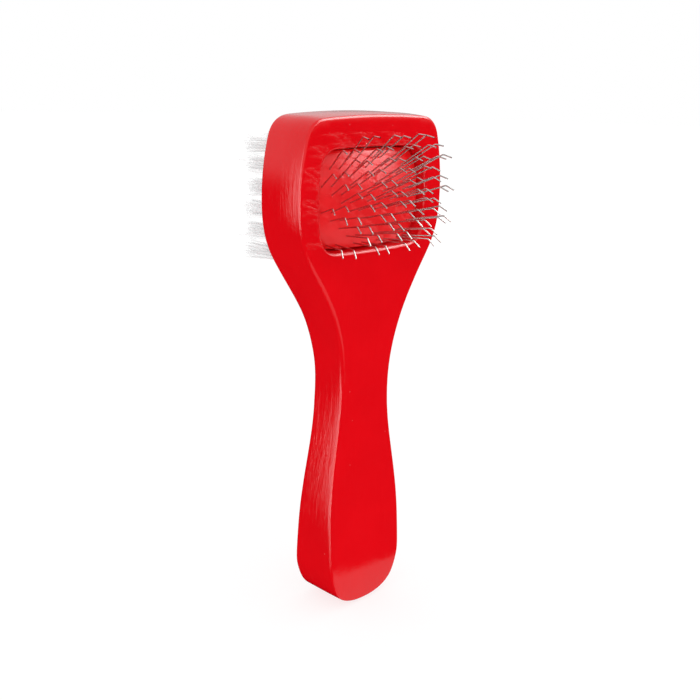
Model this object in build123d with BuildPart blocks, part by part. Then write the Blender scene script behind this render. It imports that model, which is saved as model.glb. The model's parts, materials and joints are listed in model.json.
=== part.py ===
"""A small double-sided slicker brush: a one-piece lacquered wooden body with a cushioned
pad of bent wire pins set into the front of its head and tufts of nylon filament in the back.

Millimetres. +Z runs up the handle to the head, +X is the width, the pins face -Y and the
tufts face +Y. The origin is at the end of the handle, midway through its thickness.
"""

import os
from math import atan2, cos, hypot, radians, sin, sqrt, tan

from build123d import *

# Wooden body: half-widths of the outline and half-thicknesses of the side profile
butt_end = (5.6, 0.7)
butt_corner = (9.7, 3.1)
butt_side = (12.0, 7.6)
grip_side = (13.1, 20.0)
neck_side = (8.9, 57.0)
flare_side = (12.6, 80.0)
shoulder_side = (19.5, 92.0)
head_side = (25.2, 110.0)
head_corner = (21.8, 129.6)
head_top = 130.5
head_corner_radius = 6.0
butt_front = 6.7
butt_back = 6.9
butt_slope = 0.25
grip_half_thickness = 7.15
grip_full_z = 13.0
neck_half_thickness = 5.3
neck_z = 58.0
head_half_thickness = 7.0
head_flat_z = 91.0
edge_radius = 1.1
cut_overlap = 1.0

# Recess for the pad in the front of the head
recess_bottom = 97.4
recess_top = 122.4
recess_half_width = 18.3
recess_end_half_width = 17.2
recess_end_bulge = 0.5
recess_corner_radius = 5.0
recess_floor_y = 0.0
recess_edge_radius = 1.2

# Cushioned pad: layers counted inwards from the crown of its domed rubber face
pad_gap = 0.4
pad_z = (recess_bottom + recess_top) / 2
dome_crown_y = -7.0
dome_radius_x = 70.0
dome_radius_z = 36.0
dome_overhang = 2.0
slope_step = 0.01
rubber_thickness = 1.2
backing_thickness = 0.7
adhesive_thickness = 0.2
layer_gap = 0.05

# Wire pins: U-shaped staples pushed through the backing and the rubber from behind
wire_radius = 0.18
pin_hole_clearance = 0.08
pin_columns = 13
pin_column_pitch = 2.7
pin_rows = 11
pin_row_pitch = 2.05
pin_field_z = pad_z - 0.5
pin_twill_step = 3
pin_edge_margin = 0.9
pin_lean = 22.0
pin_rise_fan = 2.0
pin_fan = 13.0
pin_sway = 1.5
pin_bend_sway = 4.0
pin_sway_waves = (11.3, 70.7)
pin_shaft_length = 9.0
pin_tip_length = 2.4
pin_bend = 48.0
knee_radius = 0.9
crown_radius = 0.35

# Nylon tufts, folded over flat metal anchors at the bottom of blind holes
tuft_columns = 7
tuft_column_pitch = 5.6
tuft_rows = 6
tuft_row_pitch = 5.35
tuft_first_z = 95.7
tuft_hole_radius = 1.9
tuft_hole_depth = 4.8
tuft_radius = 1.8
tuft_tip_radius = 2.3
tuft_length = 12.0
tuft_fan = 8.0
anchor_thickness = 0.3
anchor_width = 3.2
anchor_height = 1.6
anchor_lift = 0.6

pins_root_depth = rubber_thickness + backing_thickness
crown_depth = pins_root_depth + wire_radius + layer_gap
foam_depth = crown_depth + wire_radius + layer_gap
pin_drill_length = 4 * pins_root_depth
dome_axis_y = dome_crown_y + dome_radius_z
dome_axis = Axis((0, dome_axis_y, pad_z), (1, 0, 0))
tuft_middle_column = (tuft_columns - 1) / 2


def finish(piece, name):
    """Labels a finished piece and writes it."""
    piece.part.label = name
    export_step(piece.part, f"parts/{name}.step")


def mirrored(point):
    """The same outline point on the other side of the brush's centre line."""
    return (-point[0], point[1])


def body_outline():
    """The brush seen from the front: round butt, waisted handle, wide head with an arched top."""
    butt = [butt_end, butt_corner, butt_side, grip_side]
    sides = [grip_side, neck_side, flare_side, shoulder_side, head_side]
    with BuildSketch() as outline:
        with BuildLine():
            Spline((0, 0), *butt, tangents=[(1, 0), (0, 1)])
            Spline(*sides, tangents=[(0, 1), (0, 1)])
            TangentArc(head_side, head_corner, tangent=(0, 1))
            ThreePointArc(head_corner, (0, head_top), mirrored(head_corner))
            TangentArc(mirrored(head_side), mirrored(head_corner), tangent=(0, 1))
            Spline(*[mirrored(p) for p in sides], tangents=[(0, 1), (0, 1)])
            Spline((0, 0), *[mirrored(p) for p in butt], tangents=[(-1, 0), (0, 1)])
        make_face()
        fillet(outline.vertices().group_by(Axis.Y)[-1], head_corner_radius)
    return outline.sketch


def side_profile():
    """The brush seen from the side: a rounded butt, a thinner neck and a head of even thickness."""
    top = head_top + cut_overlap
    with BuildSketch() as profile:
        with BuildLine():
            for side, butt_depth in ((1, butt_back), (-1, butt_front)):
                butt = (side * butt_depth, -cut_overlap)
                grip = (side * grip_half_thickness, grip_full_z)
                neck = (side * neck_half_thickness, neck_z)
                head = (side * head_half_thickness, head_flat_z)
                Spline(butt, grip, neck, head, tangents=[(side * butt_slope, 1), (0, 1)])
                Line(head, (side * head_half_thickness, top))
            Line((-head_half_thickness, top), (head_half_thickness, top))
            Line((-butt_front, -cut_overlap), (butt_back, -cut_overlap))
        make_face()
    return profile.sketch


def recess_outline(inset=0.0):
    """The barrel-shaped outline of the recess, or of the pad inside it."""
    side = recess_half_width
    end = recess_end_half_width
    low = recess_bottom + recess_end_bulge
    high = recess_top - recess_end_bulge
    with BuildSketch() as outline:
        with BuildLine():
            ThreePointArc((end, low), (side, pad_z), (end, high))
            ThreePointArc((end, high), (0, recess_top), (-end, high))
            ThreePointArc((-end, high), (-side, pad_z), (-end, low))
            ThreePointArc((-end, low), (0, recess_bottom), (end, low))
        make_face()
        fillet(outline.vertices(), recess_corner_radius)
        if inset:
            offset(amount=-inset, mode=Mode.REPLACE)
    return outline.sketch


def dome_surface(x, z, depth=0.0):
    """The Y of the dome at a point of the pad, or of a surface that deep inside it."""
    ring = dome_radius_z - dome_radius_x + sqrt((dome_radius_x - depth) ** 2 - x**2)
    return dome_axis_y - sqrt(ring**2 - (z - pad_z) ** 2)


def dome_profile(depth):
    """Half of the cross-section that turns about the dome's axis to make its curved surface."""
    reach = recess_half_width + dome_overhang
    edge_y = dome_surface(reach, pad_z, depth)
    with BuildSketch() as profile:
        with BuildLine():
            ThreePointArc((-reach, edge_y), (0, dome_crown_y + depth), (reach, edge_y))
            Polyline((reach, edge_y), (reach, dome_axis_y), (-reach, dome_axis_y), (-reach, edge_y))
        make_face()
    return profile.sketch


def tuft_planes(row):
    """A plane at the mouth of each hole of a row, facing out along its fanned tuft."""
    z = tuft_first_z + row * tuft_row_pitch
    planes = []
    for column in range(tuft_columns):
        across = (column - tuft_middle_column) / tuft_middle_column
        fan = radians(tuft_fan * across)
        mouth = (column - tuft_middle_column) * tuft_column_pitch
        outwards = (sin(fan), cos(fan), 0)
        planes.append(Plane((mouth, head_half_thickness, z), x_dir=(0, 0, 1), z_dir=outwards))
    return planes


def unevenness(x, z):
    """A repeatable value from -1 to 1, different for each pin."""
    wave_x, wave_z = pin_sway_waves
    return sin(wave_x * x + wave_z * z)


def dome_normal(x, z):
    """The outward direction square to the dome."""
    rise_x = dome_surface(x + slope_step, z) - dome_surface(x - slope_step, z)
    rise_z = dome_surface(x, z + slope_step) - dome_surface(x, z - slope_step)
    return Vector(rise_x, -2 * slope_step, rise_z).normalized()


def pin_direction(x, z):
    """The way a pin's shaft points: square to the dome, fanned sideways, leaned up the brush."""
    square = dome_normal(x, z)
    fan = pin_fan * x / recess_half_width + pin_sway * unevenness(x, z)
    rise = pin_lean + pin_rise_fan * (z - pad_z) / (recess_top - pad_z)
    rise += pin_sway * unevenness(z, x)
    across = tan(atan2(square.X, -square.Y) + radians(fan))
    return Vector(across, -1, tan(atan2(square.Z, -square.Y) + radians(rise))).normalized()


def staple_feet(row):
    """Where the pins of a row leave the rubber, as pairs, one pair for each staple."""
    z = pin_field_z + ((pin_rows - 1) / 2 - row) * pin_row_pitch
    pairs = []
    for column in range(row % pin_twill_step, pin_columns - 1, pin_twill_step):
        xs = [(c - (pin_columns - 1) / 2) * pin_column_pitch for c in (column, column + 1)]
        if all(pin_fits(x, z) for x in xs):
            pairs.append([(x, z) for x in xs])
    return pairs


def pin_fits(x, z):
    """Whether a pin clears the rounded corners of the pad."""
    past_side = abs(x) - (recess_end_half_width - recess_corner_radius)
    past_end = abs(z - pad_z) - (recess_top - pad_z - recess_corner_radius)
    return hypot(max(past_side, 0), max(past_end, 0)) <= recess_corner_radius - pin_edge_margin


def pin_points(x, z):
    """A pin's tip, its knee and its root at the crown of the staple."""
    way = pin_direction(x, z)
    foot = Vector(x, dome_surface(x, z), z)
    knee = foot + way * pin_shaft_length
    bend = pin_bend + pin_bend_sway * unevenness(x + z, x)
    tip = knee + way.rotate(Axis.X, bend) * pin_tip_length
    root = foot - way * (crown_depth / way.dot(dome_normal(x, z)))
    return tip, knee, root


def make_body():
    with BuildPart() as body:
        with BuildSketch(Plane.XZ):
            add(body_outline())
        extrude(amount=2 * head_half_thickness, both=True)
        with BuildSketch(Plane.YZ):
            add(side_profile())
        extrude(amount=2 * head_side[0], both=True, mode=Mode.INTERSECT)
        rims = [e for e in body.edges() if abs(e.center().Y) > neck_half_thickness / 2]
        fillet(rims, edge_radius)
        with BuildSketch(Plane.XZ.offset(-recess_floor_y)):
            add(recess_outline())
        extrude(amount=2 * head_half_thickness, mode=Mode.SUBTRACT)
        front = body.faces().filter_by(Plane.XZ).sort_by(Axis.Y)[0]
        fillet(front.inner_wires()[0].edges(), recess_edge_radius)
        for row in range(tuft_rows):
            with Locations(*tuft_planes(row)):
                hole_align = (Align.CENTER, Align.CENTER, Align.MAX)
                with Locations((0, 0, cut_overlap)):
                    depth = tuft_hole_depth + cut_overlap
                    Cylinder(tuft_hole_radius, depth, align=hole_align, mode=Mode.SUBTRACT)
    finish(body, "wooden_body")


def drill_pins():
    """Drills a hole for every pin through the layer being built."""
    for row in range(pin_rows):
        for pair in staple_feet(row):
            for x, z in pair:
                drill = Plane(origin=(x, dome_surface(x, z), z), z_dir=pin_direction(x, z))
                with Locations(drill):
                    Cylinder(wire_radius + pin_hole_clearance, pin_drill_length, mode=Mode.SUBTRACT)


def make_layer(name, front, back):
    """A domed sheet of the pad between two depths, pierced for the pins."""
    with BuildPart() as layer:
        with BuildSketch(Plane.XZ):
            add(recess_outline(pad_gap))
        extrude(amount=2 * head_half_thickness)
        with BuildSketch(Plane.XY.offset(pad_z)):
            add(dome_profile(front))
        revolve(axis=dome_axis, mode=Mode.INTERSECT)
        with BuildSketch(Plane.XY.offset(pad_z)):
            add(dome_profile(back))
        revolve(axis=dome_axis, mode=Mode.SUBTRACT)
        drill_pins()
    finish(layer, name)


def make_foam():
    with BuildPart() as foam:
        with BuildSketch(Plane.XZ.offset(adhesive_thickness - recess_floor_y)):
            add(recess_outline(pad_gap))
        extrude(amount=2 * head_half_thickness)
        with BuildSketch(Plane.XY.offset(pad_z)):
            add(dome_profile(foam_depth))
        revolve(axis=dome_axis, mode=Mode.INTERSECT)
    finish(foam, "foam_cushion")


def make_adhesive():
    with BuildPart() as adhesive:
        with BuildSketch(Plane.XZ.offset(-recess_floor_y)):
            add(recess_outline(pad_gap))
        extrude(amount=adhesive_thickness)
    finish(adhesive, "cushion_adhesive")


def make_pin_row(row):
    """One row of staples, each a single wire bent into two pins with hooked tips."""
    with BuildPart() as pins:
        for left, right in staple_feet(row):
            left_tip, left_knee, left_root = pin_points(*left)
            right_tip, right_knee, right_root = pin_points(*right)
            bends = [knee_radius, crown_radius, crown_radius, knee_radius]
            with BuildLine() as wire:
                FilletPolyline(
                    left_tip, left_knee, left_root, right_root, right_knee, right_tip, radius=bends
                )
            with BuildSketch(Plane(origin=left_tip, z_dir=left_knee - left_tip)):
                Circle(wire_radius)
            sweep(path=wire.line)
    finish(pins, f"pin_row_{row + 1:02d}")


def make_tuft_row(row):
    """One row of tufts, each with a window at its fold for the anchor."""
    seat = (Align.CENTER, Align.CENTER, Align.MIN)
    with BuildPart() as tufts:
        with Locations(*tuft_planes(row)):
            with Locations((0, 0, layer_gap - tuft_hole_depth)):
                Cylinder(tuft_radius, tuft_hole_depth - layer_gap, align=seat)
                with Locations((0, 0, anchor_lift - layer_gap)):
                    Box(
                        anchor_thickness + 2 * layer_gap,
                        2 * tuft_hole_radius,
                        anchor_height + 2 * layer_gap,
                        align=seat,
                        mode=Mode.SUBTRACT,
                    )
            Cone(tuft_radius, tuft_tip_radius, tuft_length, align=seat)
    finish(tufts, f"tuft_row_{row + 1}")


def make_anchor_row(row):
    """The flat metal anchors that hold one row of tufts in its holes."""
    with BuildPart() as anchors:
        with Locations(*tuft_planes(row)):
            with Locations((0, 0, layer_gap + anchor_lift - tuft_hole_depth)):
                Box(
                    anchor_thickness,
                    anchor_width,
                    anchor_height,
                    align=(Align.CENTER, Align.CENTER, Align.MIN),
                )
    finish(anchors, f"tuft_anchor_row_{row + 1}")


os.makedirs("parts", exist_ok=True)
make_body()
make_layer("rubber_face", 0, rubber_thickness)
make_layer("pad_backing", rubber_thickness, pins_root_depth)
make_foam()
make_adhesive()
for pin_row in range(pin_rows):
    make_pin_row(pin_row)
for tuft_row in range(tuft_rows):
    make_tuft_row(tuft_row)
    make_anchor_row(tuft_row)
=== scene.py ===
"""Looks of the double-sided slicker brush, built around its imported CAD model. Metres."""

import json
import random
from math import cos, pi, radians, sin, sqrt

import bpy
import numpy as np
from mathutils import Matrix, Vector, noise
from mathutils.bvhtree import BVHTree
from mathutils.geometry import delaunay_2d_cdt


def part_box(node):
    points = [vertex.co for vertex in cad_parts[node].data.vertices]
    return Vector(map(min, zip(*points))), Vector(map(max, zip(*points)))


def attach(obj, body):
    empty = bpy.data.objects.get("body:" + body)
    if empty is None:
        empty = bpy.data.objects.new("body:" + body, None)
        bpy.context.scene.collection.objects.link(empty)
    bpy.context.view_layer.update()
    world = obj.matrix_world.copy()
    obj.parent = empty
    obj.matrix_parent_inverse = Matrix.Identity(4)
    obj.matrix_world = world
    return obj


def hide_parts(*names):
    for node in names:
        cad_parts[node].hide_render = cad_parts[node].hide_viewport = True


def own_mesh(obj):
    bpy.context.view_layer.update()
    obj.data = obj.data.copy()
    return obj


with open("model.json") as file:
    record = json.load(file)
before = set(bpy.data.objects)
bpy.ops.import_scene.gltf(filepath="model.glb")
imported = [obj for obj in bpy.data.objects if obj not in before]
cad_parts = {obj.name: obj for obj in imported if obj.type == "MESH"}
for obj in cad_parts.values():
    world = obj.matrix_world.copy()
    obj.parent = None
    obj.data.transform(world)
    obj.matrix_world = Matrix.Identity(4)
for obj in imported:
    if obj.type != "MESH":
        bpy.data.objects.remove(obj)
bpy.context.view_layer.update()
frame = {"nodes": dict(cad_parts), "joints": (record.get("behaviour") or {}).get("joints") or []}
nodes = frame["nodes"]
MM = 0.001

# Camera
VIEW_AZIMUTH = radians(-44.75)
VIEW_ELEVATION = radians(15.77)
VIEW_ROLL = radians(1.25)
VIEW_DISTANCE = 0.2601
VIEW_AIM = Vector((0.0005, 0.0012, 0.0692))
LENS = 50.71
SENSOR = 36

# Studio: strengths of light, elevations in degrees. A soft box is the way to its middle, the
# half-angles of its full and its whole width in degrees, and its strength.
ROOM_LIGHT = 0.96
KEY_SWING = 0.20
KEY_WAY = (0.5, -0.75, 0.43)
SKY_GLOSS = 0.7
SKY_FROM, SKY_TO = -3, 7
SOFT_BOXES = [
    ((0.66, -0.34, 0.67), 14, 26, 8.0),
    ((-0.955, 0.26, -0.10), 13, 28, 3.4),
    ((-0.81, -0.56, -0.17), 8, 18, 5.0),
    ((0.70, -0.66, 0.34), 8, 20, 5.0),
    ((0.260, -0.333, -0.906), 39.8, 41.4, 0.62),
]
FLOOR_RADIUS = 3.0
FLOOR_SIDES = 96
FLOOR_GLOW = 0.78
FLOOR_Z = -0.5 * MM

# Measuring the CAD
PER_METRE = 1e6
OUTSIDE = 0.05
PROBE_Y = 1.0 * MM
BUTT_CENTRE_Z, HEAD_CENTRE_Z = 0.014, 0.112
BUTT_CASTS, SIDE_CASTS = 80, 160
OUTLINE_POINTS = 760
OUTLINE_SMOOTH = 1.1 * MM
PROFILE_FROM, PROFILE_TO = 0.003, 0.0915
PROFILE_STATIONS = 90
PROFILE_BELOW, PROFILE_ABOVE = 0.002, 0.14
RECESS_POINTS = 240
RECESS_SMOOTH = 0.6 * MM
SMOOTH_REACH = 3
FOAM_PROBE = 0.3 * MM
FOOT_REACH = 0.9 * MM
FLAT_TOLERANCE = 1e-9
CDT_INSIDE = 1

# Wooden body
FRONT_ROUND = 0.65 * MM
BACK_ROUND = 1.0 * MM
NECK_FRONT_ROUND = 1.0 * MM
NECK_BACK_ROUND = 2.4 * MM
NECK_SOFT_FROM = 0.055
FRONT_SOFT_TO, BACK_SOFT_TO = 0.102, 0.091
NECK_SOFT_FADE = 0.014
GRIP_CROWN = 0.11 * MM
HEAD_CROWN = 0.42 * MM
HEAD_CROWN_FROM, HEAD_CROWN_TO = 0.060, 0.090
CROWN_SHARE = 0.6
LIP_ROUND = 0.8 * MM
RECESS_EASE = 0.08 * MM
TUFT_HOLE_RADIUS = 1.9 * MM
HOLE_LIP = 0.12 * MM
HOLE_SIDES = 24
EDGE_TURNS, LIP_TURNS = 9, 7
SIDE_LEVELS = 12
CAP_STEP = 1.5 * MM
CAP_MARGIN = 0.55

# Pad
DOME_REACH = 0.985
RUBBER_STEP = 0.55 * MM
RUBBER_EDGE = 0.45 * MM
RUBBER_THICK = 1.15 * MM
CLOTH_STEP = 0.7 * MM
CLOTH_EDGE = 0.1 * MM
CLOTH_THICK = 0.65 * MM
FOAM_STEP = 0.6 * MM
FOAM_EDGE = 0.1 * MM
FOAM_RIM = 0.15 * MM
PORE_SPACING = 0.9 * MM
PORE_DEPTH = 0.08 * MM
COLLAR_HEIGHT = 0.14 * MM
COLLAR_REACH = 0.5 * MM
PAD_TURNS = 6
PAD_MARGIN = 0.5

# Nylon tufts
TUFT_SEED = 11
TUFT_LEAN = 0.25 * MM
FILAMENTS = 72
FILAMENT_RADIUS = 0.12 * MM
RADIUS_SWING = (0.9, 1.1)
FILAMENT_SIDES = 6
FILAMENT_STEPS = 5
GOLDEN_ANGLE = 2.39996
ANGLE_SWING = 0.2
ROOT_LIFT = 2.6 * MM
ROOT_SPREAD = 1.62 * MM
TIP_SPREAD, TIP_SPREAD_SWING = 1.95 * MM, 0.35 * MM
TIP_SCATTER = 0.22 * MM
CUT_SWING, CUT_SHORT = 0.35 * MM, 0.15 * MM
STRAY_SHARE = 0.025
STRAY_SCATTER = 1.2 * MM
FILAMENT_BOW = 0.25 * MM
# Painted light: the nylon's glow, which brightens the tufts where the filaments shade each other
NYLON_PAINTED_LIGHT = 0.09

# Lacquer: how deep each kind of unevenness is
WAVE_DEPTH = 0.02 * MM
STROKE_DEPTH = 0.05 * MM
GRAIN_DEPTH = 0.03 * MM
SPECK_DEPTH = 0.08 * MM


# ---------------------------------------------------------------- measuring the CAD


def node_tree(name):
    """A ray-casting tree of a CAD node."""
    mesh = nodes[name].data
    points = [v.co.copy() for v in mesh.vertices]
    return BVHTree.FromPolygons(points, [tuple(p.vertices) for p in mesh.polygons])


def cast(tree, origin, way):
    """Where a ray first meets a CAD node, or None."""
    return tree.ray_cast(Vector(origin), Vector(way).normalized())[0]


def loose_parts(name):
    """The points of each separate solid of a CAD node, as arrays."""
    mesh = nodes[name].data
    keys = [tuple(round(c * PER_METRE) for c in v.co) for v in mesh.vertices]
    parent = {k: k for k in keys}

    def root(k):
        while parent[k] != k:
            parent[k] = parent[parent[k]]
            k = parent[k]
        return k

    for edge in mesh.edges:
        a, b = (root(keys[i]) for i in edge.vertices)
        parent[a] = b
    groups = {}
    for key in parent:
        groups.setdefault(root(key), []).append(key)
    return [np.array(g, float) / PER_METRE for g in groups.values()]


def even_loop(points, count, smooth):
    """A closed curve through the points, with even steps and smoothed over a short length."""
    points = np.array(points, float)
    closed = np.vstack([points, points[:1]])
    steps = np.r_[0, np.cumsum(np.linalg.norm(np.diff(closed, axis=0), axis=1))]
    at = np.linspace(0, steps[-1], count, endpoint=False)
    loop = np.stack([np.interp(at, steps, closed[:, i]) for i in range(2)], axis=1)
    spread = smooth / (steps[-1] / count)
    reach = int(SMOOTH_REACH * spread) + 1
    shifts = np.arange(-reach, reach + 1)
    weights = np.exp(-0.5 * (shifts / spread) ** 2)
    weights /= weights.sum()
    return sum(w * np.roll(loop, k, axis=0) for k, w in zip(shifts, weights))


def outward(loop):
    """Unit normals that point out of a counter-clockwise loop."""
    along = np.roll(loop, -1, axis=0) - np.roll(loop, 1, axis=0)
    along /= np.linalg.norm(along, axis=1)[:, None]
    return np.stack([along[:, 1], -along[:, 0]], axis=1)


def body_outline(tree):
    """The brush's outline in x and z, counter-clockwise as seen from the front."""
    low, high = BUTT_CENTRE_Z, HEAD_CENTRE_Z
    points = []

    def meet(z, angle):
        hit = cast(tree, (0, PROBE_Y, z), (cos(angle), 0, sin(angle)))
        points.append((hit.x, hit.z))

    for i in range(BUTT_CASTS):
        meet(low, -pi + pi * i / BUTT_CASTS)
    for i in range(SIDE_CASTS):
        meet(low + (high - low) * i / SIDE_CASTS, 0)
    for i in range(SIDE_CASTS):
        meet(high, pi * i / SIDE_CASTS)
    for i in range(SIDE_CASTS):
        meet(high + (low - high) * i / SIDE_CASTS, pi)
    return even_loop(points, OUTLINE_POINTS, OUTLINE_SMOOTH)


def face_depth(tree, side):
    """A function of z that gives the y of the front (side -1) or back (side 1) face."""
    stations = np.linspace(PROFILE_FROM, PROFILE_TO, PROFILE_STATIONS)
    found = [cast(tree, (0, side * OUTSIDE, z), (0, -side, 0)).y for z in stations]
    slope = (found[2] - found[0]) / (stations[2] - stations[0])
    start = found[0] - slope * (stations[0] + PROFILE_BELOW)
    stations = np.r_[-PROFILE_BELOW, stations, PROFILE_ABOVE]
    found = np.r_[start, found, found[-1]]
    return lambda z: np.interp(z, stations, found)


def recess_outline(tree, middle):
    """The recess's outline in x and z, counter-clockwise as seen from the front."""
    points = []
    for i in range(RECESS_POINTS):
        angle = 2 * pi * i / RECESS_POINTS
        hit = cast(tree, middle, (cos(angle), 0, sin(angle)))
        points.append((hit.x, hit.z))
    return even_loop(points, RECESS_POINTS, RECESS_SMOOTH)


# ---------------------------------------------------------------- mesh building


class Shell:
    """Points and faces of a mesh, put together loop by loop."""

    def __init__(self):
        self.points = []
        self.faces = []

    def loop(self, points):
        start = len(self.points)
        self.points += [tuple(p) for p in points]
        return list(range(start, len(self.points)))

    def bridge(self, a, b):
        """Quads between two closed loops with as many points."""
        n = len(a)
        self.faces += [(a[i], a[(i + 1) % n], b[(i + 1) % n], b[i]) for i in range(n)]

    def cap(self, flat, border, holes, flip):
        """Triangles over numbered points that lie at flat[i], inside border, outside holes."""
        index = sorted(flat)
        place = {k: i for i, k in enumerate(index)}
        edges = []
        for ring in [border, *holes]:
            after = ring[1:] + ring[:1]
            edges += [(place[a], place[b]) for a, b in zip(ring, after)]
        spots = [Vector(flat[k]) for k in index]
        made = delaunay_2d_cdt(spots, edges, [], CDT_INSIDE, FLAT_TOLERANCE)
        hole_of = {k: n for n, ring in enumerate(holes) for k in ring}
        for face in made[2]:
            corners = [index[made[3][i][0]] for i in face]
            inside = {hole_of.get(k) for k in corners}
            if len(inside) == 1 and None not in inside:
                continue
            self.faces.append(tuple(reversed(corners)) if flip else tuple(corners))

    def object(self, name, material):
        """A smooth-shaded object of what was put together."""
        mesh = bpy.data.meshes.new(name)
        mesh.from_pydata(self.points, [], self.faces)
        mesh.validate()
        mesh.materials.append(material)
        mesh.shade_smooth()
        made = bpy.data.objects.new(name, mesh)
        bpy.context.scene.collection.objects.link(made)
        return made


def inside_loop(loop, x, z):
    """Whether a point is inside a closed loop, by counting crossings."""
    x0, z0 = loop[:, 0], loop[:, 1]
    x1, z1 = np.roll(x0, -1), np.roll(z0, -1)
    spans = (z0 > z) != (z1 > z)
    with np.errstate(divide="ignore", invalid="ignore"):
        cross = x0 + (z - z0) * (x1 - x0) / (z1 - z0)
    return bool((spans & (x < cross)).sum() % 2)


def grid_inside(border, keep_out, step, margin):
    """Staggered points inside a loop, clear of it and of the loops to keep out of."""
    found = []
    low, high = border.min(0), border.max(0)
    rings = np.vstack([border, *keep_out]) if keep_out else border
    for row, z in enumerate(np.arange(low[1], high[1], step * sqrt(3) / 2)):
        for x in np.arange(low[0] + (row % 2) * step / 2, high[0], step):
            if not inside_loop(border, x, z):
                continue
            if any(inside_loop(k, x, z) for k in keep_out):
                continue
            if ((rings - (x, z)) ** 2).sum(1).min() > margin**2:
                found.append((x, z))
    return found


# ---------------------------------------------------------------- wooden body


def edge_round(z, plain_round, neck_round, soft_to):
    """The radius of an edge: small on the head and the grip, sanded softer on the neck."""
    up = np.clip((z - NECK_SOFT_FROM) / NECK_SOFT_FADE, 0, 1)
    down = np.clip((soft_to - z) / NECK_SOFT_FADE, 0, 1)
    ramp = np.minimum(up, down)
    return plain_round + (neck_round - plain_round) * ramp * ramp * (3 - 2 * ramp)


def tuft_axes():
    """The fold end and the tip of every tuft, row by row."""
    rows = {}
    for name in sorted(n for n in nodes if n.startswith("tuft_row")):
        rows[name] = []
        for points in loose_parts(name):
            middle = points.mean(0)
            axis = np.linalg.svd(points - middle, full_matrices=False)[2][0]
            axis = axis if axis[1] > 0 else -axis
            reach = (points - middle) @ axis
            rows[name].append((middle + axis * reach.min(), middle + axis * reach.max()))
    return rows


def build_body(tufts, material):
    """The lacquered body, with its recess and the holes for the tufts."""
    tree = node_tree("wooden_body")
    outline = body_outline(tree)
    normal = outward(outline)
    front_y, back_y = face_depth(tree, -1), face_depth(tree, 1)
    front_round = edge_round(outline[:, 1], FRONT_ROUND, NECK_FRONT_ROUND, FRONT_SOFT_TO)
    back_round = edge_round(outline[:, 1], BACK_ROUND, NECK_BACK_ROUND, BACK_SOFT_TO)
    crown_z = (HEAD_CROWN_FROM, HEAD_CROWN_TO)
    side_crown = np.interp(outline[:, 1], crown_z, (GRIP_CROWN, HEAD_CROWN))
    shell = Shell()

    def band(inset, share, sink_front, sink_back):
        """One loop round the body, share of the way from its front face to its back."""
        crown = side_crown * np.clip(1 - share / CROWN_SHARE, 0, 1) ** 2
        flat = outline - normal * (inset + crown)[:, None]
        near = front_y(flat[:, 1]) + sink_front
        far = back_y(flat[:, 1]) - sink_back
        y = near + (far - near) * share
        return shell.loop(np.stack([flat[:, 0], y, flat[:, 1]], axis=1)), flat

    loops = []
    turns = np.linspace(0, pi / 2, EDGE_TURNS)
    level = np.zeros(len(outline))
    for a in turns:
        inset, sink = front_round * (1 - sin(a)), front_round * (1 - cos(a))
        loops.append(band(inset, level, sink, level))
    for t in np.linspace(0, 1, SIDE_LEVELS)[1:-1]:
        loops.append(band(level, level + t, front_round, back_round))
    for a in reversed(turns):
        inset, sink = back_round * (1 - sin(a)), back_round * (1 - cos(a))
        loops.append(band(inset, level + 1, level, sink))
    for (a, _), (b, _) in zip(loops, loops[1:]):
        shell.bridge(b, a)

    pad_low, pad_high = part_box("rubber_face")
    middle = (0, pad_high.y, (pad_low.z + pad_high.z) / 2)
    recess = recess_outline(tree, middle)
    recess_normal = outward(recess)
    recess = recess + recess_normal * RECESS_EASE
    floor_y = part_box("cushion_adhesive")[1].y
    rings = []
    for a in np.linspace(0, pi / 2, LIP_TURNS):
        flat = recess + recess_normal * LIP_ROUND * (1 - sin(a))
        y = front_y(flat[:, 1]) + LIP_ROUND * (1 - cos(a))
        rings.append((shell.loop(np.stack([flat[:, 0], y, flat[:, 1]], axis=1)), flat))
    base = shell.loop([(x, floor_y, z) for x, z in recess])
    rings.append((base, recess))
    for (a, _), (b, _) in zip(rings, rings[1:]):
        shell.bridge(a, b)
    shell.faces.append(tuple(base))

    close_face(shell, loops[0], [rings[0]], front_y, False)
    ends = [pair for row in tufts.values() for pair in row]
    holes = [tuft_hole(shell, fold, tip, back_y) for fold, tip in ends]
    close_face(shell, loops[-1], holes, back_y, True)

    body = shell.object("lacquered_body", material)
    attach(body, "brush")
    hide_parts("wooden_body")


def close_face(shell, border, holes, face_y, flip):
    """The front or back face of the body, inside its rounded edge and outside its holes."""
    ring, flat_border = border
    flat = dict(zip(ring, map(tuple, flat_border)))
    for hole, flat_hole in holes:
        flat.update(zip(hole, map(tuple, flat_hole)))
    inner = grid_inside(flat_border, [h[1] for h in holes], CAP_STEP, CAP_STEP * CAP_MARGIN)
    added = shell.loop([(x, float(face_y(z)), z) for x, z in inner])
    flat.update(zip(added, inner))
    shell.cap(flat, ring, [h[0] for h in holes], flip)


def tuft_hole(shell, fold, tip, back_y):
    """A blind hole for one tuft. Gives the loop at its mouth."""
    axis = (tip - fold) / np.linalg.norm(tip - fold)
    mouth = fold + axis * (back_y(fold[2]) - fold[1]) / axis[1]
    turn = [2 * pi * i / HOLE_SIDES for i in range(HOLE_SIDES)]
    rings = []
    for reach, sink in ((TUFT_HOLE_RADIUS + HOLE_LIP, 0), (TUFT_HOLE_RADIUS, HOLE_LIP)):
        flat = [(mouth[0] + reach * cos(t), mouth[2] + reach * sin(t)) for t in turn]
        flat = np.array(flat)
        rings.append((shell.loop([(x, float(back_y(z)) - sink, z) for x, z in flat]), flat))
    drop = fold - mouth
    deep = [(x + drop[0], fold[1], z + drop[2]) for x, z in rings[1][1]]
    bottom = shell.loop(deep)
    shell.bridge(rings[1][0], rings[0][0])
    shell.bridge(bottom, rings[1][0])
    shell.faces.append(tuple(reversed(bottom)))
    return rings[0]


# ---------------------------------------------------------------- pad


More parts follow.
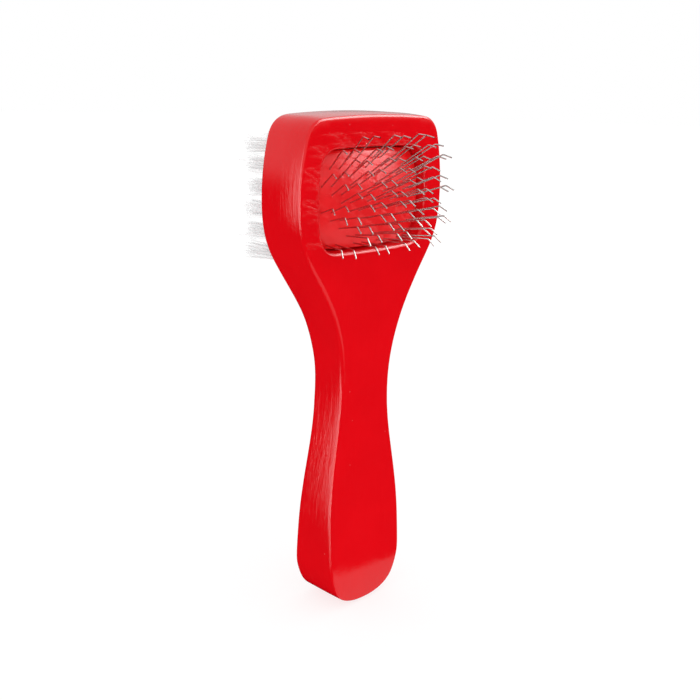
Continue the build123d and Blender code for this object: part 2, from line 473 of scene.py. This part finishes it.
def dome_depth():
    """A function that gives the y of the rubber face, from the smooth foam below it."""
    tree = node_tree("foam_cushion")
    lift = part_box("foam_cushion")[0].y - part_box("rubber_face")[0].y

    def depth(x, z):
        hit = cast(tree, (x, -OUTSIDE, z), (0, 1, 0))
        return None if hit is None else hit.y - lift

    return depth


def pin_feet(depth):
    """Where the wires come out of the rubber."""
    feet = []
    for name in (n for n in nodes if n.startswith("pin_row")):
        mesh = nodes[name].data
        found = []
        for edge in mesh.edges:
            a, b = (mesh.vertices[i].co for i in edge.vertices)
            ya, yb = depth(a.x, a.z), depth(b.x, b.z)
            if ya is None or yb is None or (a.y - ya) * (b.y - yb) >= 0:
                continue
            share = (a.y - ya) / ((a.y - ya) - (b.y - yb))
            found.append(a.lerp(b, share))
        while found:
            near = [p for p in found if (p - found[0]).length < FOOT_REACH]
            found = [p for p in found if (p - found[0]).length >= FOOT_REACH]
            feet.append(sum(near, Vector()) / len(near))
    return feet


def pad_layer(border, edge, front, back, step):
    """A layer of the pad: a front face with a rounded edge, a side and a back face."""
    normal = outward(border)
    shell = Shell()
    rings = []
    for a in np.linspace(0, pi / 2, PAD_TURNS):
        flat = border - normal * edge * (1 - sin(a))
        sunk = edge * (1 - cos(a))
        rings.append((shell.loop([(x, front(x, z) + sunk, z) for x, z in flat]), flat))
    under = shell.loop([(x, back(x, z), z) for x, z in border])
    for (a, _), (b, _) in zip(rings, rings[1:]):
        shell.bridge(b, a)
    shell.bridge(under, rings[-1][0])
    faces = [(*rings[0], front, step, False), (under, border, back, 2 * step, True)]
    for ring, flat_ring, surface, spacing, flip in faces:
        flat = dict(zip(ring, map(tuple, flat_ring)))
        inner = grid_inside(flat_ring, [], spacing, spacing * PAD_MARGIN)
        added = shell.loop([(x, surface(x, z), z) for x, z in inner])
        flat.update(zip(added, inner))
        shell.cap(flat, ring, [], flip)
    return shell


def build_pad(rubber_material, cloth_material, foam_material):
    """The rubber face with a raised collar round each pin, the cloth behind it and the foam."""
    depth = dome_depth()
    rubber_box, cloth_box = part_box("rubber_face"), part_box("pad_backing")
    foam_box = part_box("foam_cushion")
    middle_z = (rubber_box[0].z + rubber_box[1].z) / 2
    middle = (0, foam_box[1].y - FOAM_PROBE, middle_z)
    border = recess_outline(node_tree("foam_cushion"), middle)
    spots = np.array([(f.x, f.z) for f in pin_feet(depth)])

    def dome(x, z):
        return depth(x * DOME_REACH, (z - middle_z) * DOME_REACH + middle_z)

    def collared(x, z):
        away = ((spots - (x, z)) ** 2).sum(1)
        return dome(x, z) - COLLAR_HEIGHT * float(np.exp(-away / COLLAR_REACH**2).sum())

    def sunk(amount):
        return lambda x, z: dome(x, z) + amount

    rubber = pad_layer(border, RUBBER_EDGE, collared, sunk(RUBBER_THICK), RUBBER_STEP)
    rubber = rubber.object("rubber_dome", rubber_material)
    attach(rubber, "pad")
    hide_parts("rubber_face")

    cloth_sink = cloth_box[0].y - rubber_box[0].y
    cloth_front, cloth_back = sunk(cloth_sink), sunk(cloth_sink + CLOTH_THICK)
    cloth = pad_layer(border, CLOTH_EDGE, cloth_front, cloth_back, CLOTH_STEP)
    cloth = cloth.object("backing_sheet", cloth_material)
    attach(cloth, "pad")
    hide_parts("pad_backing")

    foam_sink, foam_back = foam_box[0].y - rubber_box[0].y, foam_box[1].y
    press = next(j for j in frame["joints"] if j["name"] == "pad_press")
    travel = press["range_m"][1]
    keep = 1 - travel / (foam_back - foam_box[0].y)

    def porous(x, z):
        """The foam's front, lower at the rim, so that cloth and wires clear it when pressed."""
        pore = PORE_DEPTH * (1 + noise.noise(Vector((x, 0, z)) / PORE_SPACING))
        height = foam_back - dome(x, z) - foam_sink
        return foam_back - max((height - travel) / keep - pore, FOAM_RIM)

    foam = pad_layer(border, FOAM_EDGE, porous, lambda x, z: foam_back, FOAM_STEP)
    foam = foam.object("foam_block", foam_material)
    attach(foam, "brush")
    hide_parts("foam_cushion")
    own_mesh(foam)


# ---------------------------------------------------------------- tufts


def filament(shell, root, tip, bow, radius):
    """One nylon filament from root to tip, bowed sideways, with both ends cut square."""
    way = (tip - root).normalized()
    side = way.cross(Vector((0, 0, 1))).normalized()
    other = way.cross(side)
    last = None
    for i in range(FILAMENT_STEPS):
        t = i / (FILAMENT_STEPS - 1)
        middle = root.lerp(tip, t) + bow * (t * t)
        ring = []
        for k in range(FILAMENT_SIDES):
            angle = 2 * pi * k / FILAMENT_SIDES
            ring.append(middle + side * (radius * cos(angle)) + other * (radius * sin(angle)))
        ring = shell.loop(ring)
        if last:
            shell.bridge(last, ring)
        else:
            shell.faces.append(tuple(reversed(ring)))
        last = ring
    shell.faces.append(tuple(last))


def build_tufts(tufts, material):
    """The nylon of every tuft, one piece for each row."""
    rng = random.Random(TUFT_SEED)

    def scatter(side, other, spread):
        return side * rng.gauss(0, spread) + other * rng.gauss(0, spread)

    for name, row in tufts.items():
        shell = Shell()
        for fold, tip in row:
            fold, tip = Vector(fold), Vector(tip)
            way = (tip - fold).normalized()
            side = way.cross(Vector((0, 0, 1))).normalized()
            other = way.cross(side)
            lean = scatter(side, other, TUFT_LEAN)
            for i in range(FILAMENTS):
                share = sqrt((i + 0.5) / FILAMENTS)
                angle = i * GOLDEN_ANGLE + rng.uniform(-ANGLE_SWING, ANGLE_SWING)
                spot = side * cos(angle) + other * sin(angle)
                start = fold + way * ROOT_LIFT + spot * (ROOT_SPREAD * share)
                flare = (TIP_SPREAD + TIP_SPREAD_SWING * rng.random()) * share
                end = tip + spot * flare + lean
                end += scatter(side, other, TIP_SCATTER)
                end += way * (rng.gauss(0, CUT_SWING) - CUT_SHORT)
                if rng.random() < STRAY_SHARE:
                    end += scatter(side, other, STRAY_SCATTER)
                bow = scatter(side, other, FILAMENT_BOW)
                radius = FILAMENT_RADIUS * rng.uniform(*RADIUS_SWING)
                filament(shell, start, end, bow, radius)
        piece = shell.object(name + "_filaments", material)
        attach(piece, "brush")
        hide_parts(name)


# ---------------------------------------------------------------- materials


def set_range(node, low, high, start, end):
    """Sets what a Map Range node takes and gives, and returns its result."""
    limits = {"From Min": low, "From Max": high, "To Min": start, "To Max": end}
    for key, number in limits.items():
        node.inputs[key].default_value = number
    return node.outputs["Result"]


class Paint:
    """A Principled material and short ways to wire textures into it."""

    def __init__(self, name, **values):
        self.material = bpy.data.materials.new(name)
        self.material.use_nodes = True
        self.tree = self.material.node_tree
        self.shader = self.tree.nodes["Principled BSDF"]
        for key, value in values.items():
            socket = self.shader.inputs[key.replace("_", " ")]
            socket.default_value = (*value, 1) if isinstance(value, tuple) else value
        self.place = self.add("ShaderNodeTexCoord").outputs["Object"]

    def add(self, kind, **inputs):
        node = self.tree.nodes.new(kind)
        for key, value in inputs.items():
            self.set(node.inputs[key.replace("_", " ")], value)
        return node

    def set(self, socket, value):
        if isinstance(value, bpy.types.NodeSocket):
            self.tree.links.new(value, socket)
        else:
            socket.default_value = value

    def stretched(self, scale):
        """The place on the object, scaled by its own amount along each axis."""
        mapping = self.add("ShaderNodeMapping", Vector=self.place)
        mapping.inputs["Scale"].default_value = scale
        return mapping.outputs["Vector"]

    def noise(self, scale, detail, roughness=0.55, place=None):
        node = self.add("ShaderNodeTexNoise", Vector=place or self.place, Scale=scale)
        node.inputs["Detail"].default_value = detail
        node.inputs["Roughness"].default_value = roughness
        return node.outputs["Fac"]

    def cells(self, scale):
        """How far each place is from the middle of its cell."""
        node = self.add("ShaderNodeTexVoronoi", Vector=self.place, Scale=scale)
        return node.outputs["Distance"]

    def band(self, value, low, high, start=0.0, end=1.0):
        """The value, stretched from low..high to start..end."""
        node = self.add("ShaderNodeMapRange", Value=value)
        return set_range(node, low, high, start, end)

    def mix(self, share, a, b):
        node = self.add("ShaderNodeMix")
        node.data_type = "RGBA"
        self.set(node.inputs["Factor"], share)
        color_in = [s for s in node.inputs if s.type == "RGBA"]
        for socket, value in zip(color_in, (a, b)):
            self.set(socket, (*value, 1) if isinstance(value, tuple) else value)
        return [s for s in node.outputs if s.type == "RGBA"][0]

    def bump(self, height, distance, normal=None):
        node = self.add("ShaderNodeBump", Height=height, Distance=distance)
        if normal:
            self.set(node.inputs["Normal"], normal)
        return node.outputs["Normal"]

    def done(self, color, normal=None):
        """The material, once its colour and its normal are wired in."""
        self.set(self.shader.inputs["Base Color"], color)
        if normal:
            self.set(self.shader.inputs["Normal"], normal)
        return self.material


def red_lacquer():
    """Thick glossy lacquer, brushed on along the handle, with nibs of dust in it."""
    paint = Paint(
        "red_lacquer",
        Roughness=0.5,
        Specular_IOR_Level=0.0,
        Coat_Weight=1.0,
        Coat_Roughness=0.06,
        Coat_IOR=1.5,
    )
    cloud = paint.band(paint.noise(60, 3), 0.35, 0.7)
    color = paint.mix(cloud, (0.79, 0.0030, 0.0075), (0.74, 0.0025, 0.0065))
    grain = paint.noise(1.0, 5, 0.6, paint.stretched((2600, 2600, 110)))
    strokes = paint.noise(1.0, 3, 0.5, paint.stretched((1100, 1100, 70)))
    wave = paint.noise(240, 3)
    nib = paint.band(paint.cells(420.0), 0.04, 0.09, 1.0, 0.0)
    rare = paint.band(paint.noise(130, 2), 0.62, 0.68)
    speck = paint.add("ShaderNodeMath")
    speck.operation = "MULTIPLY"
    paint.set(speck.inputs[0], nib)
    paint.set(speck.inputs[1], rare)
    color = paint.mix(speck.outputs[0], color, (0.9, 0.42, 0.40))
    normal = paint.bump(wave, WAVE_DEPTH)
    normal = paint.bump(strokes, STROKE_DEPTH, normal)
    normal = paint.bump(grain, GRAIN_DEPTH, normal)
    normal = paint.bump(speck.outputs[0], SPECK_DEPTH, normal)
    paint.set(paint.shader.inputs["Coat Normal"], normal)
    return paint.done(color, normal)


def red_rubber():
    paint = Paint("red_rubber", Roughness=0.2, Specular_IOR_Level=0.45)
    cloud = paint.band(paint.noise(150, 4), 0.3, 0.7)
    color = paint.mix(cloud, (0.92, 0.010, 0.014), (0.84, 0.007, 0.010))
    return paint.done(color, paint.bump(paint.noise(2400, 3), 0.01 * MM))


def drawn_wire():
    paint = Paint("drawn_wire", Metallic=1.0, Roughness=0.24)
    dull = paint.noise(900, 3)
    color = paint.mix(paint.band(dull, 0.35, 0.7), (0.62, 0.60, 0.58), (0.50, 0.48, 0.46))
    paint.set(paint.shader.inputs["Roughness"], paint.band(dull, 0.3, 0.7, 0.16, 0.24))
    return paint.done(color)


def clear_nylon():
    """Clear filaments, with a painted glow that brightens the tufts where the filaments shade
    each other.
    """
    paint = Paint(
        "clear_nylon",
        Roughness=0.4,
        Alpha=0.3,
        Specular_IOR_Level=0.1,
        IOR=1.53,
        Emission_Color=(1, 1, 1),
        Emission_Strength=NYLON_PAINTED_LIGHT,
    )
    cloud = paint.band(paint.noise(500, 2), 0.3, 0.7)
    return paint.done(paint.mix(cloud, (1.0, 1.0, 1.0), (0.95, 0.955, 0.96)))


def backing_cloth():
    paint = Paint("backing_cloth", Roughness=0.85)
    weave = paint.noise(1500, 2)
    color = paint.mix(weave, (0.55, 0.45, 0.33), (0.38, 0.30, 0.22))
    return paint.done(color, paint.bump(weave, 0.1 * MM))


def open_foam():
    paint = Paint("open_foam", Roughness=0.95)
    cells = paint.cells(1400.0)
    # Painted shade: each cell is darker in its middle, where the bump sinks it into a pore
    color = paint.mix(cells, (0.45, 0.38, 0.26), (0.78, 0.72, 0.58))
    return paint.done(color, paint.bump(cells, 0.3 * MM))


def dry_glue():
    paint = Paint("dry_glue", Roughness=0.5)
    lumps = paint.noise(700, 3)
    color = paint.mix(lumps, (0.75, 0.66, 0.42), (0.62, 0.52, 0.30))
    return paint.done(color, paint.bump(lumps, 0.1 * MM))


def flat_brass():
    paint = Paint("flat_brass", Metallic=1.0, Roughness=0.35)
    wear = paint.noise(1200, 3)
    return paint.done(paint.mix(wear, (0.78, 0.58, 0.28), (0.60, 0.43, 0.20)))


def repaint(start, material):
    """Gives every CAD node whose name starts so a material and a slot."""
    for name in (n for n in nodes if n.startswith(start)):
        mesh = nodes[name].data
        mesh.materials.clear()
        mesh.materials.append(material)


# ---------------------------------------------------------------- camera, light, floor


def add_camera():
    """The camera at the photograph's viewing angle."""
    az, el = VIEW_AZIMUTH, VIEW_ELEVATION
    back = Vector((sin(az) * cos(el), -cos(az) * cos(el), sin(el)))
    right = Vector((0, 0, 1)).cross(back).normalized()
    up = back.cross(right)
    across = right * cos(VIEW_ROLL) + up * sin(VIEW_ROLL)
    above = up * cos(VIEW_ROLL) - right * sin(VIEW_ROLL)
    data = bpy.data.cameras.new("camera")
    data.sensor_width = SENSOR
    data.lens = LENS
    data.clip_start = 0.01
    camera = bpy.data.objects.new("camera", data)
    turn = Matrix((across, above, back)).transposed().to_4x4()
    camera.matrix_world = Matrix.Translation(VIEW_AIM + back * VIEW_DISTANCE) @ turn
    bpy.context.scene.collection.objects.link(camera)
    bpy.context.scene.camera = camera


def studio_world():
    """An even white room. Reflections see a pale sky and soft boxes over a dark ground."""
    world = bpy.data.worlds.new("studio")
    bpy.context.scene.world = world
    world.use_nodes = True
    tree = world.node_tree
    place = tree.nodes.new("ShaderNodeTexCoord").outputs["Generated"]

    def facing(way):
        node = tree.nodes.new("ShaderNodeVectorMath")
        node.operation = "DOT_PRODUCT"
        tree.links.new(place, node.inputs[0])
        node.inputs[1].default_value = Vector(way).normalized()
        return node.outputs["Value"]

    def ramp(value, low, high, start, end, kind="SMOOTHSTEP"):
        node = tree.nodes.new("ShaderNodeMapRange")
        node.interpolation_type = kind
        tree.links.new(value, node.inputs["Value"])
        return set_range(node, low, high, start, end)

    def total(a, b):
        node = tree.nodes.new("ShaderNodeMath")
        tree.links.new(a, node.inputs[0])
        tree.links.new(b, node.inputs[1])
        return node.outputs["Value"]

    def choose(share, a, b):
        node = tree.nodes.new("ShaderNodeMix")
        tree.links.new(share, node.inputs["Factor"])
        for socket, value in ((node.inputs["A"], a), (node.inputs["B"], b)):
            if isinstance(value, float):
                socket.default_value = value
            else:
                tree.links.new(value, socket)
        return node.outputs["Result"]

    low, high = sin(radians(SKY_FROM)), sin(radians(SKY_TO))
    shine = ramp(facing((0, 0, 1)), low, high, 0.0, SKY_GLOSS)
    for way, inner, outer, strength in SOFT_BOXES:
        box = ramp(facing(way), cos(radians(outer)), cos(radians(inner)), 0.0, strength)
        shine = total(shine, box)
    dim, bright = ROOM_LIGHT - KEY_SWING, ROOM_LIGHT + KEY_SWING
    even = ramp(facing(KEY_WAY), -1, 1, dim, bright, "LINEAR")
    path = tree.nodes.new("ShaderNodeLightPath")
    seen = choose(path.outputs["Is Glossy Ray"], even, shine)
    seen = choose(path.outputs["Is Camera Ray"], seen, 1.0)
    tree.links.new(seen, tree.nodes["Background"].inputs["Strength"])
    tree.nodes["Background"].inputs["Color"].default_value = (1, 1, 1, 1)


def add_floor():
    """A plain pale floor, just below the brush, that reflections don't see."""
    paint = Paint(
        "pale_floor",
        Roughness=0.9,
        Specular_IOR_Level=0.0,
        Emission_Color=(1, 1, 1),
        Emission_Strength=FLOOR_GLOW,
    )
    color = paint.mix(paint.noise(40, 3), (0.26, 0.26, 0.26), (0.24, 0.24, 0.24))
    shell = Shell()
    rim = [2 * pi * i / FLOOR_SIDES for i in range(FLOOR_SIDES)]
    rim = [(FLOOR_RADIUS * cos(a), FLOOR_RADIUS * sin(a), FLOOR_Z) for a in rim]
    shell.faces.append(tuple(shell.loop(rim)))
    floor = shell.object("floor", paint.done(color))
    floor.visible_glossy = False


# ---------------------------------------------------------------- the scene

add_camera()
studio_world()
add_floor()
lacquer, rubber, cloth = red_lacquer(), red_rubber(), backing_cloth()
foam, nylon = open_foam(), clear_nylon()
tufts = tuft_axes()
build_body(tufts, lacquer)
build_pad(rubber, cloth, foam)
build_tufts(tufts, nylon)
repaint("pin_row", drawn_wire())
repaint("tuft_anchor", flat_brass())
repaint("pad_backing", cloth)
repaint("foam_cushion", foam)
repaint("cushion_adhesive", dry_glue())
repaint("wooden_body", lacquer)
repaint("rubber_face", rubber)
repaint("tuft_row", nylon)

bpy.context.scene.view_settings.view_transform = "Standard"
bpy.context.view_layer.update()
